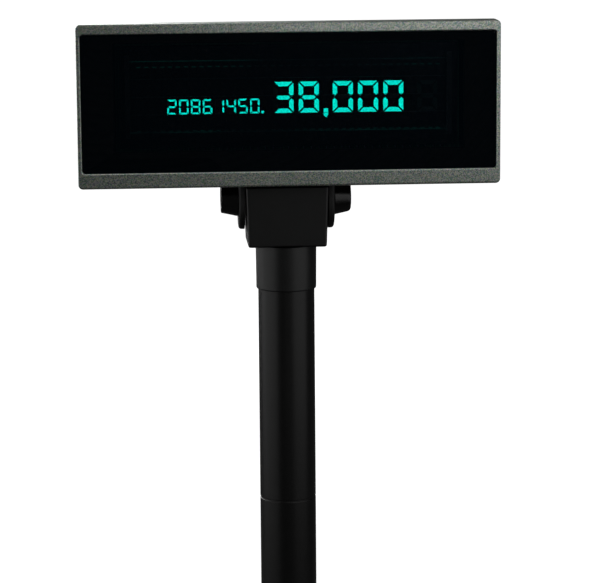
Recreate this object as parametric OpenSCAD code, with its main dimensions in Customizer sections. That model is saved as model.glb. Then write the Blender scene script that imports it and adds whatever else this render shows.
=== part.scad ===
// Customer pole display: a wide readout head on a tilting hinge with two clamp knobs, over a
// neck that swivels on a pole of two tube sections, which stands in a weighted base.
// The origin is on the pole's axis at the floor, +Z is up and the readout faces -Y.
// Heights inside the head are measured up from the head's lower edge.

/* [Head] */
// Width of the head
head_w = 220; // [210:1:260]
// Height of the head
head_h = 85.2; // [82:0.2:110]
// Depth of the head at its lower edge
head_d = 60; // [58:0.5:75]
// Reach of the bezel's face in front of the pole's axis
head_reach = 43.4; // [41.4:0.2:46]
// Depth of the front bezel
bezel_d = 12; // [11:0.5:14]
// Wall of the bezel and the rear cover
head_wall = 2; // [1.6:0.1:2.6]
// Radius of the head's outer corners
head_corner = 2.4; // [1.6:0.1:8]
// Rounding along the bezel's front edge
bezel_edge = 1.4; // [0.4:0.1:1.4]
// Step in from the bezel to the rear cover
cover_step = 0.6; // [0.3:0.1:1.2]
// Lean of the rear cover's back, degrees from upright
back_lean = 15; // [0:1:18]
// Fall of the rear cover's top, degrees from level
top_fall = 3.6; // [2:0.2:6]
// Taper of the rear cover's sides, degrees
side_taper = 4; // [1:0.5:5]
// Rounding round the rear cover's back
back_round = 5; // [3:0.5:6]

/* [Window] */
// Border of the bezel at either side of the window
border_side = 2.1; // [1.8:0.1:8]
// Border of the bezel above the window
border_top = 5.3; // [3:0.1:8]
// Border of the bezel below the window
border_bottom = 8.1; // [3:0.1:10]
// Radius of the window's corners
window_corner = 1.7; // [0.8:0.1:5]
// Thickness of the window
window_t = 2; // [1.5:0.1:2.5]
// Depth of the window's face behind the bezel's face
window_sink = 0.8; // [0.3:0.1:1]
// Bevel of the bezel's lip round the window
lip_bevel = 0.5; // [0.2:0.1:0.8]

/* [Readout] */
// Width of the display tube's glass
tube_glass_w = 176; // [164:1:180]
// Height of the display tube's glass
tube_glass_h = 53; // [44:1:54]
// Height of the glass's centre above the head's lower edge
readout_z = 47; // [46:0.5:48]
// Height of the figures' base line above the head's lower edge
base_line = 37.7; // [33:0.1:40]
// Space between the spare large cell and the glass's right end
digit_margin = 10.4; // [9:0.1:14]
// Width of a large figure
digit_w = 10.5; // [8:0.1:11.6]
// Height of a large figure
digit_h = 16.2; // [14:0.1:20]
// Stroke of a large figure
digit_stroke = 2.3; // [1.6:0.1:3.2]
// Distance from one large figure to the next
digit_pitch = 13.2; // [12:0.1:14]
// Extra space that a comma takes
comma_space = 4.6; // [4:0.1:5]
// Space between the small characters' point and the first large figure
field_gap = 5; // [3:0.1:6]
// Width of a small character
char_w = 4.9; // [3.5:0.1:5.4]
// Height of a small character
char_h = 7.7; // [6:0.1:10]
// Stroke of a small character
char_stroke = 0.9; // [0.7:0.1:1.3]
// Distance from one small character to the next
char_pitch = 6.15; // [5.8:0.05:6.4]
// Gap between neighbouring segments of a large figure, measured along the cell's edge
digit_gap = 0.6; // [0.2:0.05:0.7]
// Gap between neighbouring segments of a small character, measured along the cell's edge
char_gap = 0.3; // [0.1:0.05:0.4]

/* [Hinge] */
// Height of the tilt axis below the head's lower edge
pivot_drop = 11; // [10.8:0.1:14]
// Farthest tilt of the readout towards the floor, degrees
tilt_down = 12; // [5:1:15]
// Farthest tilt of the readout towards the ceiling, degrees
tilt_up = 30; // [15:1:32]
// Clearance between the neck's top and the tilting head
tilt_gap = 0.5; // [0.3:0.1:1]
// Thickness of a hinge ear
ear_t = 3.2; // [2.4:0.1:4]
// Radius of a hinge ear's round end
ear_r = 14.2; // [12:0.1:15]
// Reach of a hinge ear below the tilt axis
ear_low = 17.1; // [15:0.1:18]
// Rounding along a hinge ear's outer edge
ear_round = 1.6; // [0.4:0.1:2]
// Diameter of the clamp studs
stud_d = 5; // [4:0.5:5.5]
// Length of a knob
knob_l = 9.1; // [8:0.1:16]
// Radius of a knob over its corners, at the ear
knob_r = 10.4; // [9.4:0.1:10.8]
// Radius of a knob over its corners, at its outer end
knob_end_r = 8.4; // [7.4:0.1:9]
// Number of flats round a knob
knob_flats = 10; // [6:1:12]
// Height of a knob's first edge above the front, degrees round its axis
knob_turn = 13; // [0:1:36]

/* [Neck] */
// Width of the neck block across its top
block_w = 44; // [41:0.5:56]
// Depth of the neck block across its top
block_d = 35.4; // [34:0.2:40]
// Height of the neck block below the tilt axis
block_drop = 25.3; // [20:0.1:30]
// Narrowing of the block from its top to its foot, over both sides
block_draft = 2; // [0:0.1:3]
// Rounding of the block's upright edges
block_edge = 1.2; // [0.5:0.1:3]
// Radius of the cable well in the block
well_r = 13; // [12:0.1:13.5]
// Height of the collar below the block
collar_h = 24.2; // [18:0.2:36]
// Wall of the collar where it hides the tube
collar_wall = 0.8; // [0.6:0.1:2]
// Length of tube inside the collar
collar_overlap = 6; // [3:0.5:10]

/* [Pole] */
// Outer diameter of the pole's tubes
pole_d = 30.4; // [30:0.2:32]
// Wall of the pole's tubes
pole_wall = 2; // [1.4:0.1:2.2]
// Length of the upper tube that shows
upper_show = 115.4; // [60:0.2:200]
// Length of the lower tube that shows
lower_show = 115; // [60:0.2:200]
// Width of the joint line between the tubes
joint_line = 0.6; // [0.3:0.1:1.5]
// Length of the sleeve inside the joint
coupler_l = 50; // [30:1:56]
// Diameter of the swivel post
post_d = 21; // [18:0.2:21.6]
// Diameter of the cable passage through the post
passage_d = 12; // [8:0.5:13]

/* [Base] */
// Width of the base
base_w = 190; // [170:1:230]
// Depth of the base
base_d = 130; // [122:1:170]
// Height of the base's top above the floor
base_h = 26; // [24:0.5:36]
// Radius of the base's corners in plan
base_corner = 22; // [18:0.5:30]
// Wall of the base cover
base_wall = 2.5; // [2:0.1:3]
// Rise of the pole's socket above the base's top
socket_rise = 19; // [12:0.5:30]
// Thickness of the steel ballast plate
plate_t = 6; // [4:0.5:8]
// Height of the rubber feet
foot_h = 3; // [2.6:0.1:5]
// Diameter of the rubber feet
foot_d = 16; // [10:0.5:20]
// Spacing of the counter fixing holes, both ways
fixing_pitch = 75; // [60:1:90]
// Diameter of the counter fixing holes
fixing_d = 4.4; // [3.4:0.1:5.4]
// Width of the cable notch in the base's rear wall
notch_w = 12; // [8:0.5:18]
// Height of the cable notch above the base cover's rim
notch_h = 9; // [6:0.5:11]

/* [Hidden] */

// Colours of the finishes
METALLIC = "#565c59";
WINDOW = "#0a0d0e";
LIT = "#00e8d2";
UNLIT = "#101816";
SATIN = "#232424";
MATTE = "#1c1c1c";
GLOSS = "#121212";
BOARD = "#1d5a3a";
STEEL = "#9a9c9e";
BRASS = "#b89a55";
RUBBER = "#202020";

fine = 64;
slip = 0.2;
hair = 0.1;
over = 0.5;

// Heights of the joints between the pieces, from the floor up
rim_z = 1.5;
plate_z = foot_h;
plate_top = plate_z + plate_t;
socket_top = base_h + socket_rise;
seam_z = socket_top + lower_show;
collar_z = seam_z + upper_show;
tube_top = collar_z + collar_overlap;
block_z = collar_z + collar_h;
pivot_z = block_z + block_drop;
head_z = pivot_z + pivot_drop;

// Planes of the head, from its face backwards
face_y = -head_reach;
window_y = face_y + window_sink;
tape_t = 0.4;
ledge_t = 1.6;
ledge_y = window_y + window_t + tape_t;
ledge_back = ledge_y + ledge_t;
parting_y = face_y + bezel_d;
back_y = face_y + head_d;

// The window's opening and the ledge that frames the display tube behind it
open_w = head_w - 2 * border_side;
glass_gap = 1.5;
ledge_w = tube_glass_w + 4 * glass_gap;
ledge_h = tube_glass_h + 2 * glass_gap;
ledge_z = readout_z - ledge_h / 2;

// The display tube: cover glass, vacuum gap, base glass
glass_t = 1.6;
vacuum_t = 2.8;
base_glass_t = 2.4;
glass_y = window_y + window_t + 0.6;
anode_y = glass_y + glass_t + vacuum_t;
glass_wall = 2;
segment_t = 0.12;
filament_r = 0.15;
filament_y = anode_y - 1.6;
filament_count = 5;
support_w = 2.4;

// The board behind the display tube and its screws
board_y = parting_y + 3.4;
board_t = 1.6;
board_w = tube_glass_w + 4;
board_low = 12;
board_high = head_h - 4.2;
post_x = tube_glass_w / 2 - 2;
post_low = 14.8;
post_high = head_h - 6.6;
post_r = 2.6;
m2_r = 1;
m2_head_r = 1.9;
m2_head_t = 1.4;
m3_r = 1.5;
m3_head_r = 2.75;
m3_head_t = 2.2;
m4_r = 2;
thread_l = 6.4;
tip_gap = 1.2;

// The cover screws, in deep wells beside the board
well_x = board_w / 2 + 6;
well_low = 12;
well_high = head_h - 13;
screw_tube_r = 4.8;
screw_well_r = 3.3;
boss_y = parting_y - 1;
screw_seat = boss_y + 6;

// The hinge's planes to either side of the neck
ear_gap = 0.4;
pad_x = block_w / 2;
ear_in = pad_x + ear_gap;
ear_out = ear_in + ear_t;
knob_in = ear_out + 0.15;
stud_r = stud_d / 2;
stud_reach = pad_x - 6.5;
insert_r = stud_r + 1.1;
hex_r = stud_r * 1.85;
hex_t = 3.4;
hex_at = 2;
neck_top_r = pivot_drop - tilt_gap;

// The swivel: post, floor of the neck and its ring
pole_r = pole_d / 2;
bore_r = pole_r - pole_wall;
collar_r = pole_r + slip + collar_wall;
post_or = post_d / 2;
flange_t = 2;
flange_top = tube_top + flange_t;
floor_z = block_z + 4;
washer_t = 1.5;
ring_t = 1;
ring_z = floor_z + washer_t + hair;
ring_r = well_r - 0.4;
groove_r = post_or - 1.2;
post_top = ring_z + ring_t + 1.7;
spigot_l = 25;

// The base's holes
foot_x = base_w / 2 - 15;
foot_y = base_d / 2 - 15;
base_screw_x = base_w / 2 - 35;
base_screw_y = base_d / 2 - 17;
pole_screw_pcd = 16;
plug_t = 8;
boss_r = 4;
boss_bite = 9;

// The swivel's stop: a key on the post's flange in a ring groove of the neck that one web closes
key_in = post_or + 0.9;
key_out = bore_r + 0.8;
key_t = 2.5;
key_angle = 29;
stop_gap = 0.3;

// Points of a rounded rectangle, counter-clockwise from its right side
function outline(x0, x1, y0, y1, r, n = 6) = [
    for (c = [0:3], k = [0:n])
        let (a = 90 * (c + k / n))
        let (cx = c == 0 || c == 3 ? x1 - r : x0 + r)
        let (cy = c < 2 ? y1 - r : y0 + r)
        [cx + r * cos(a), cy + r * sin(a)]
];

// Closed skin over a stack of outlines that run counter-clockwise as seen from the first one
module skin(rings) {
    n = len(rings[0]);
    last = (len(rings) - 1) * n;
    polyhedron(
        points = [for (ring = rings) each ring],
        faces = concat(
            [[for (i = [n - 1:-1:0]) i]],
            [for (k = [0:len(rings) - 2], i = [0:n - 1])
                let (j = (i + 1) % n)
                each [[k * n + i, k * n + j, k * n + n + j], [k * n + i, k * n + n + j, k * n + n + i]]],
            [[for (i = [0:n - 1]) last + i]]));
}

// One outline of the head, at depth y, whose plane leans forward by the given slope
function head_ring(half, low, high, r, y, slope = 0) = [
    for (p = outline(-half, half, low, high, r))
        [p[0], y - slope * (p[1] - cover_step), head_z + p[1]]
];

// Cylinder along Y from one depth to another
module rod_y(x, y0, y1, z, r, sides = 32) {
    translate([x, y0, z]) rotate([-90, 0, 0]) cylinder(h = y1 - y0, r = r, $fn = sides);
}

// Cylinder along X from one place to another
module rod_x(x0, x1, r, sides = fine) {
    translate([x0, 0, pivot_z]) rotate([0, 90, 0]) cylinder(h = x1 - x0, r = r, $fn = sides);
}

// Block of the head between two corners, its heights from the head's lower edge
module head_box(x0, x1, y0, y1, z0, z1) {
    translate([x0, y0, head_z + z0]) cube([x1 - x0, y1 - y0, z1 - z0]);
}

// Places of the four screws that join bezel and rear cover
module at_cover_screws() {
    for (side = [-1, 1], z = [well_low, well_high]) translate([side * well_x, 0, head_z + z]) children();
}

// Places of the four screws that hold the board
module at_board_screws() {
    for (side = [-1, 1], z = [post_low, post_high]) translate([side * post_x, 0, head_z + z]) children();
}

// The bezel: a rounded frame with a bevelled lip, a pocket for the window and a ledge behind it
module front_bezel() {
    half = head_w / 2;
    edge = [for (a = [0:15:90]) [bezel_edge * (1 - sin(a)), bezel_edge * (1 - cos(a))]];
    color(METALLIC) difference() {
        union() {
            difference() {
                skin(concat(
                    [for (e = edge)
                        head_ring(half - e[0], e[0], head_h - e[0], head_corner, face_y + e[1])],
                    [head_ring(half, 0, head_h, head_corner, parting_y)]));
                skin([for (s = [[-hair, lip_bevel + hair], [lip_bevel, 0], [ledge_y - face_y, 0]])
                    head_ring(open_w / 2 + s[1], border_bottom - s[1], head_h - border_top + s[1],
                        window_corner + s[1], face_y + s[0])]);
                head_box(-ledge_w / 2, ledge_w / 2, ledge_y - over, ledge_back + over,
                    ledge_z, ledge_z + ledge_h);
                head_box(-half + head_wall, half - head_wall, ledge_back, parting_y + over,
                    head_wall, head_h - head_wall);
            }
            at_cover_screws() rod_y(0, ledge_back - over, boss_y, 0, screw_tube_r - 1);
            at_board_screws() rod_y(0, ledge_back - over, board_y, 0, post_r);
        }
        at_cover_screws() rod_y(0, ledge_back, boss_y + over, 0, m3_r + hair / 2);
        at_board_screws() rod_y(0, ledge_back, board_y + over, 0, m2_r + hair / 2);
    }
}

// The smoked window, dropped into the bezel's pocket
module window() {
    gap = 0.15;
    color(WINDOW) skin([for (y = [window_y, window_y + window_t])
        head_ring(open_w / 2 - gap, border_bottom + gap, head_h - border_top - gap, window_corner, y)]);
}

// The adhesive frame between the window and the ledge
module window_tape() {
    gap = 0.4;
    color(GLOSS) difference() {
        head_box(-open_w / 2 + gap, open_w / 2 - gap, ledge_y - tape_t, ledge_y,
            border_bottom + gap, head_h - border_top - gap);
        head_box(-ledge_w / 2 - gap, ledge_w / 2 + gap, ledge_y - tape_t - over, ledge_y + over,
            ledge_z - gap, ledge_z + ledge_h + gap);
    }
}

// Segments of a figure, as outlines in a cell of width w and height h with stroke s:
// mitred at 45 degrees where two of them meet, with a thin gap g along the mitre
function mirror_x(points, w) = [for (p = points) [w - p[0], p[1]]];
function mirror_y(points, h) = [for (p = points) [p[0], h - p[1]]];
function top_bar(w, h, s, g) = [[g, h], [s + g, h - s], [w - s - g, h - s], [w - g, h]];
function side_bar(h, s, g) =
    let (mid = h / 2 + g, tip = 0.45 * s)
    [[0, h - g], [0, mid + tip], [tip, mid], [s, mid + s - tip], [s, h - s - g]];
function mid_bar(x0, x1, h, s) =
    let (half = s / 2, mid = h / 2)
    [[x0, mid], [x0 + half, mid - half], [x1 - half, mid - half], [x1, mid], [x1 - half, mid + half],
        [x0 + half, mid + half]];
function slant(w, h, s, g) =
    let (x0 = s + g, x1 = w / 2 - s / 2 - g, y0 = h - s - g, y1 = h / 2 + s / 2 + g)
    [[x0, y0], [x0, y0 - 0.9 * s], [x1 - 0.5 * s, y1], [x1, y1], [x1, y1 + 0.9 * s], [x0 + 0.5 * s, y0]];
function stem(w, h, s, g) =
    [[w / 2 - s / 2, h / 2 + s / 2 + g], [w / 2 + s / 2, h / 2 + s / 2 + g], [w / 2 + s / 2, h - s - g],
        [w / 2 - s / 2, h - s - g]];
function segment(name, w, h, s, g) =
    let (tip = 0.45 * s)
    name == "a" ? top_bar(w, h, s, g) :
    name == "b" ? mirror_x(side_bar(h, s, g), w) :
    name == "c" ? mirror_x(mirror_y(side_bar(h, s, g), h), w) :
    name == "d" ? mirror_y(top_bar(w, h, s, g), h) :
    name == "e" ? mirror_y(side_bar(h, s, g), h) :
    name == "f" ? side_bar(h, s, g) :
    name == "g" ? mid_bar(tip + g, w - tip - g, h, s) :
    name == "h" ? slant(w, h, s, g) :
    name == "i" ? stem(w, h, s, g) :
    name == "j" ? mirror_x(slant(w, h, s, g), w) :
    name == "k" ? mirror_y(slant(w, h, s, g), h) :
    name == "l" ? mirror_y(stem(w, h, s, g), h) :
    mirror_x(mirror_y(slant(w, h, s, g), h), w);

// Segments that light up for each figure from 0 to 9, and those that every cell has
LIT_FOR = ["abcdef", "bc", "abdeg", "abcdg", "bcfg", "acdfg", "acdefg", "abc", "abcdefg", "abcdfg"];
LARGE_CELL = "abcdefg";
SMALL_CELL = "abcdefghijklm";
price = [3, 8, 0, 0, 0];
comma_after = 1;
item = [2, 0, 8, 6, 1, 4, 5, 0];
point_w = 1.3;
point_lap = 0.3;

// The first cells' left edges, worked back from the glass's right end
digit_x = tube_glass_w / 2 - digit_margin - len(price) * digit_pitch - 2 * comma_space - digit_w;
char_x = digit_x - field_gap - point_w + point_lap - len(item) * char_pitch;

// Left edges of the cells, the large ones with a comma's space after the second and the fifth
function digit_left(i) =
    digit_x + i * digit_pitch + (i > comma_after ? comma_space : 0) + (i > len(price) - 1 ? comma_space : 0);
function char_left(i) = char_x + i * char_pitch;

// One printed mark on the base glass, from its outline
module mark(x, points) {
    translate([x, anode_y, head_z + base_line]) rotate([90, 0, 0])
        linear_extrude(height = segment_t) polygon(points);
}

// The named segments of one large figure or one small character
module large_cell(i, names) {
    for (name = names) mark(digit_left(i), segment(name, digit_w, digit_h, digit_stroke, digit_gap));
}
module small_cell(i, names) {
    for (name = names) mark(char_left(i), segment(name, char_w, char_h, char_stroke, char_gap));
}

// What a cell has but a figure doesn't light
function rest_of(cell, names) = [for (name = cell) if (len(search(name, names)) == 0) name];

// The lit large figures and their comma
module large_digits() {
    comma_x = digit_left(comma_after) + digit_w + (comma_space + digit_pitch - digit_w - digit_stroke) / 2;
    color(LIT) {
        for (i = [0:len(price) - 1]) large_cell(i, LIT_FOR[price[i]]);
        mark(comma_x, [[0, 2.1], [0, -1.3], [digit_stroke / 2, -2.6], [digit_stroke, -1.3],
            [digit_stroke, 2.1]]);
    }
}

// The lit small characters and their point
module small_characters() {
    color(LIT) {
        for (i = [0:len(item) - 1]) small_cell(i, LIT_FOR[item[i]]);
        mark(char_left(len(item)) - point_lap, [[0, 0], [point_w, 0], [point_w, point_w], [0, point_w]]);
    }
}

// The segments that stay dark, with a spare large cell and two rows of small dashes
module unlit_segments() {
    dash = [2.2, 0.5];
    dash_pitch = 4.1;
    count = floor(2 * (support_x - support_w - dash[0]) / dash_pitch);
    bar = [[-dash[0] / 2, 0], [dash[0] / 2, 0], [dash[0] / 2, dash[1]], [-dash[0] / 2, dash[1]]];
    row_low = -8.9;
    row_high = digit_h + 8.2;
    color(UNLIT) {
        for (i = [0:len(price) - 1]) large_cell(i, rest_of(LARGE_CELL, LIT_FOR[price[i]]));
        large_cell(len(price), LARGE_CELL);
        for (i = [0:len(item) - 1]) small_cell(i, rest_of(SMALL_CELL, LIT_FOR[item[i]]));
        for (i = [0:count - 1], row = [row_low, row_high])
            translate([0, 0, row]) mark((i - (count - 1) / 2) * dash_pitch, bar);
    }
}

// The display tube's cover glass, a shallow box that is open to the rear
module cover_glass() {
    half = tube_glass_w / 2;
    low = readout_z - tube_glass_h / 2;
    color(WINDOW, 0.3) difference() {
        head_box(-half, half, glass_y, anode_y, low, low + tube_glass_h);
        head_box(-half + glass_wall, half - glass_wall, glass_y + glass_t, anode_y + over,
            low + glass_wall, low + tube_glass_h - glass_wall);
    }
}

// The display tube's base glass, which carries the segments
module base_glass() {
    half = tube_glass_w / 2;
    low = readout_z - tube_glass_h / 2;
    color(UNLIT) head_box(-half, half, anode_y, anode_y + base_glass_t, low, low + tube_glass_h);
}

// The strips at either end of the tube that stretch the heater wires
support_x = tube_glass_w / 2 - glass_wall - 1;
module filament_supports() {
    tall = tube_glass_h - 2 * glass_wall - 6;
    color(STEEL) for (side = [-1, 1])
        translate([side * (support_x - support_w / 2), (filament_y - 0.4 + anode_y) / 2, head_z + readout_z])
            cube([support_w, anode_y - filament_y + 0.4, tall], center = true);
}

// The heater wires, stretched across the tube in front of the segments
module filaments() {
    step = (tube_glass_h - 2 * glass_wall - 12) / (filament_count - 1);
    length = 2 * (support_x - support_w);
    color(STEEL) for (i = [0:filament_count - 1])
        translate([-length / 2, filament_y, head_z + readout_z + (i - (filament_count - 1) / 2) * step])
            rotate([0, 90, 0]) cylinder(h = length, r = filament_r, $fn = 16);
}

// The tube's leads: down from the glass seal and back to the board
module display_pins() {
    pitch = 4;
    count = floor((tube_glass_w - 16) / pitch);
    lead = 0.5;
    low = readout_z - tube_glass_h / 2;
    color(STEEL) for (i = [0:count]) translate([(i - count / 2) * pitch, anode_y, head_z + low])
        rotate([90, 0, 90]) linear_extrude(height = lead, center = true)
            polygon([[-0.2, 0], [0.2, 0], [0.2, -1.4], [board_y - anode_y, -1.4], [board_y - anode_y, -1.9],
                [-0.2, -1.9]]);
}

// The board, drilled for its four screws
module display_board() {
    color(BOARD) difference() {
        head_box(-board_w / 2, board_w / 2, board_y, board_y + board_t, board_low, board_high);
        at_board_screws() rod_y(0, board_y - over, board_y + board_t + over, 0, m2_r + hair);
    }
}

// Parts on the board's rear face, placed from the board's ends and the readout's middle
board_back = board_y + board_t;
parts_z = readout_z + 1;
module driver_chips() {
    side = 14;
    leads = side + 2.4;
    lead_t = 0.3;
    chip_pitch = 30;
    first_x = -board_w / 2 + 38;
    color(GLOSS) for (i = [0:2]) translate([first_x + i * chip_pitch, 0, 0]) {
        head_box(-side / 2, side / 2, board_back + lead_t, board_back + 2.4,
            parts_z - side / 2, parts_z + side / 2);
        head_box(-leads / 2, leads / 2, board_back, board_back + lead_t,
            parts_z - leads / 2, parts_z + leads / 2);
    }
}
module converter_coil() {
    core_r = 7;
    core_x = board_w / 2 - 46;
    flange = 1.5;
    tall = 9.5;
    color(GLOSS) {
        rod_y(core_x, board_back, board_back + flange, head_z + parts_z, core_r);
        rod_y(core_x, board_back + flange, board_back + tall - flange, head_z + parts_z, core_r - 2.5);
        rod_y(core_x, board_back + tall - flange, board_back + tall, head_z + parts_z, core_r);
    }
}
module capacitors() {
    can_r = 4;
    can_l = 11;
    color(GLOSS) for (down = [6, 18])
        rod_y(board_w / 2 - 26, board_back, board_back + can_l, head_z + parts_z - down, can_r);
}
module cable_header() {
    half = 14;
    low = board_low + 10;
    tall = 7;
    deep = 8;
    wall = 1.2;
    color("ivory") difference() {
        head_box(-half, half, board_back, board_back + deep, low, low + tall);
        head_box(-half + wall, half - wall, board_back + 1.5, board_back + deep + over,
            low + wall, low + tall - wall);
    }
}

// Screw along Y with a flat round head behind its seat
module screw_y(seat, head_r, head_t, r, length) {
    union() {
        rod_y(0, seat, seat + head_t, 0, head_r, 24);
        rod_y(0, seat - length, seat + hair, 0, r, 24);
    }
}
module board_screws() {
    color(STEEL) at_board_screws() screw_y(board_back, m2_head_r, m2_head_t, m2_r, board_t + thread_l);
}
module cover_screws() {
    color(STEEL) at_cover_screws()
        screw_y(screw_seat, m3_head_r, m3_head_t, m3_r, screw_seat - ledge_back - tip_gap);
}

// Skin of the rear cover, its walls moved in by the given amount: a wedge whose sides and top
// taper, whose back leans and whose rear edge is rounded
module cover_skin(inset) {
    corner_growth = 4;
    slope = tan(back_lean);
    depth = back_y - parting_y;
    flat = depth - back_round;
    start = inset > 0 ? -over : 0;
    bend = [for (a = [0:15:90]) [flat + back_round * sin(a), back_round * (1 - cos(a))]];
    skin([for (s = concat([[start, 0]], bend))
        let (t = max(s[0], 0) / depth)
        let (half = head_w / 2 - cover_step - inset - t * depth * tan(side_taper) - s[1])
        let (low = cover_step + inset + s[1])
        let (high = head_h - cover_step - inset - t * depth * tan(top_fall) - s[1])
        head_ring(half, low, high, max(head_corner + corner_growth * t - inset, 0.8),
            parting_y + s[0] - (inset > 0 && s[0] > 0 ? inset : 0), slope * t)]);
}

// A hinge ear: a tab with a round end and rounded outer edges that runs up into the cover
module ear(side) {
    end_z = pivot_z + ear_r - ear_low;
    top_z = head_z + cover_step + head_wall / 2;
    edge = [for (a = [0:15:90]) [ear_r - ear_round * (1 - cos(a)), ear_t - ear_round * (1 - sin(a))]];
    translate([side * ear_in, 0, end_z]) {
        rotate([0, side * 90, 0]) rotate_extrude($fn = fine)
            polygon(concat([[0, 0], [ear_r, 0]], edge, [[0, ear_t]]));
        linear_extrude(height = top_z - end_z) polygon(concat(
            [[0, -ear_r]], [for (p = edge) [side * p[1], -p[0]]],
            [for (k = [len(edge) - 1:-1:0]) [side * edge[k][1], edge[k][0]]], [[0, ear_r]]));
    }
}

// The rear cover with its hinge ears, screw wells, vents and cable slot
vent_count = 10;
vent_pitch = 11;
vent_w = 7.2;
vent_h = 2;
slot_w = 24;
slot_d = 10;
module rear_cover() {
    lip_gap = 0.2;
    lip_t = 1.2;
    lip_half = head_w / 2 - head_wall - lip_gap;
    color(MATTE) difference() {
        union() {
            difference() {
                cover_skin(0);
                cover_skin(head_wall);
            }
            difference() {
                head_box(-lip_half, lip_half, parting_y - 2, parting_y + 1,
                    head_wall + lip_gap, head_h - head_wall - lip_gap);
                head_box(-lip_half + lip_t, lip_half - lip_t, parting_y - 2 - over, parting_y + 1 + over,
                    head_wall + lip_gap + lip_t, head_h - head_wall - lip_gap - lip_t);
            }
            intersection() {
                union() {
                    cover_skin(0);
                    head_box(-head_w / 2, head_w / 2, boss_y, parting_y + over, 0, head_h);
                }
                at_cover_screws() rod_y(0, boss_y, back_y, 0, screw_tube_r);
            }
            for (side = [-1, 1]) ear(side);
        }
        at_cover_screws() {
            rod_y(0, screw_seat, back_y + over, 0, screw_well_r);
            rod_y(0, boss_y - over, screw_seat + over, 0, m3_r + hair);
        }
        rod_x(-ear_out - over, ear_out + over, stud_r + slip);
        head_box(-slot_w / 2, slot_w / 2, -slot_d / 2, slot_d / 2, 0, head_wall + cover_step + over);
        for (i = [0:vent_count - 1], down = [27.2, 22.2])
            translate([(i - (vent_count - 1) / 2) * vent_pitch, 0, 0])
                head_box(-vent_w / 2, vent_w / 2, board_back + 3, back_y,
                    head_h - down, head_h - down + vent_h);
    }
}

// A knob: a tapered grip of flats with a chamfered end, moulded round the head of its stud
module knob(side) {
    bevel = 0.7;
    dish = 0.5;
    dish_rim = 2.6;
    slant_r = (knob_r - knob_end_r) / (knob_l - bevel) * bevel;
    color(GLOSS) translate([side * knob_in, 0, pivot_z]) rotate([0, side * 90, 0]) difference() {
        rotate(-90 - side * knob_turn) union() {
            cylinder(h = knob_l - bevel, r1 = knob_r, r2 = knob_end_r, $fn = knob_flats);
            translate([0, 0, knob_l - bevel])
                cylinder(h = bevel, r1 = knob_end_r, r2 = knob_end_r - bevel - slant_r, $fn = knob_flats);
        }
        translate([0, 0, -over]) cylinder(h = hex_at + 2 * over, r = stud_r + hair / 2, $fn = fine);
        translate([0, 0, hex_at]) cylinder(h = hex_t + hair, r = hex_r + hair, $fn = 6);
        translate([0, 0, knob_l - dish]) cylinder(h = dish + over, r = knob_end_r - dish_rim, $fn = fine);
    }
}

// The stud of a knob: its six-sided head in the knob, its thread in the neck's insert
module knob_screw(side) {
    color(STEEL) translate([side * knob_in, 0, pivot_z]) rotate([0, side * 90, 0]) {
        translate([0, 0, hex_at + hair / 2]) cylinder(h = hex_t, r = hex_r, $fn = 6);
        translate([0, 0, stud_reach - knob_in])
            cylinder(h = knob_in - stud_reach + hex_at + 1, r = stud_r, $fn = fine);
    }
}
module left_knob() { knob(-1); }
module right_knob() { knob(1); }
module left_knob_screw() { knob_screw(-1); }
module right_knob_screw() { knob_screw(1); }

// Thin friction washers between the neck's pads and the ears
module friction_washers() {
    washer_step = 1;
    color(STEEL) for (side = [-1, 1]) difference() {
        rod_x(side > 0 ? pad_x : -ear_in, side > 0 ? ear_in : -pad_x, pad_r - washer_step);
        rod_x(-ear_in - over, ear_in + over, stud_r + slip);
    }
}

// Threaded brass inserts in the neck's sides
module knob_inserts() {
    color(BRASS) for (side = [-1, 1]) difference() {
        rod_x(side > 0 ? stud_reach : -pad_x + 0.4, side > 0 ? pad_x - 0.4 : -stud_reach, insert_r);
        rod_x(-pad_x - over, pad_x + over, stud_r + hair / 2);
    }
}

// Side view of the neck block's top: a round back about the tilt axis that runs out along the
// lines where the tilted head would touch it
function neck_profile() =
    let (far = block_d)
    concat(
        [[-far, -block_drop - over], [-far, (neck_top_r - far * sin(tilt_down)) / cos(tilt_down)]],
        [for (k = [0:12]) let (a = -tilt_down + k * (tilt_down + tilt_up) / 12)
            [neck_top_r * sin(a), neck_top_r * cos(a)]],
        [[far, (neck_top_r - far * sin(tilt_up)) / cos(tilt_up)], [far, -block_drop - over]]);

// Wedge about the pole's axis, centred on the given direction, from one height to another
module wedge(middle, angle, low, high) {
    far = 2 * pole_r;
    translate([0, 0, low]) rotate(middle) linear_extrude(height = high - low)
        polygon([[0, 0], [far, -far * tan(angle / 2)], [far, far * tan(angle / 2)]]);
}

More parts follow.
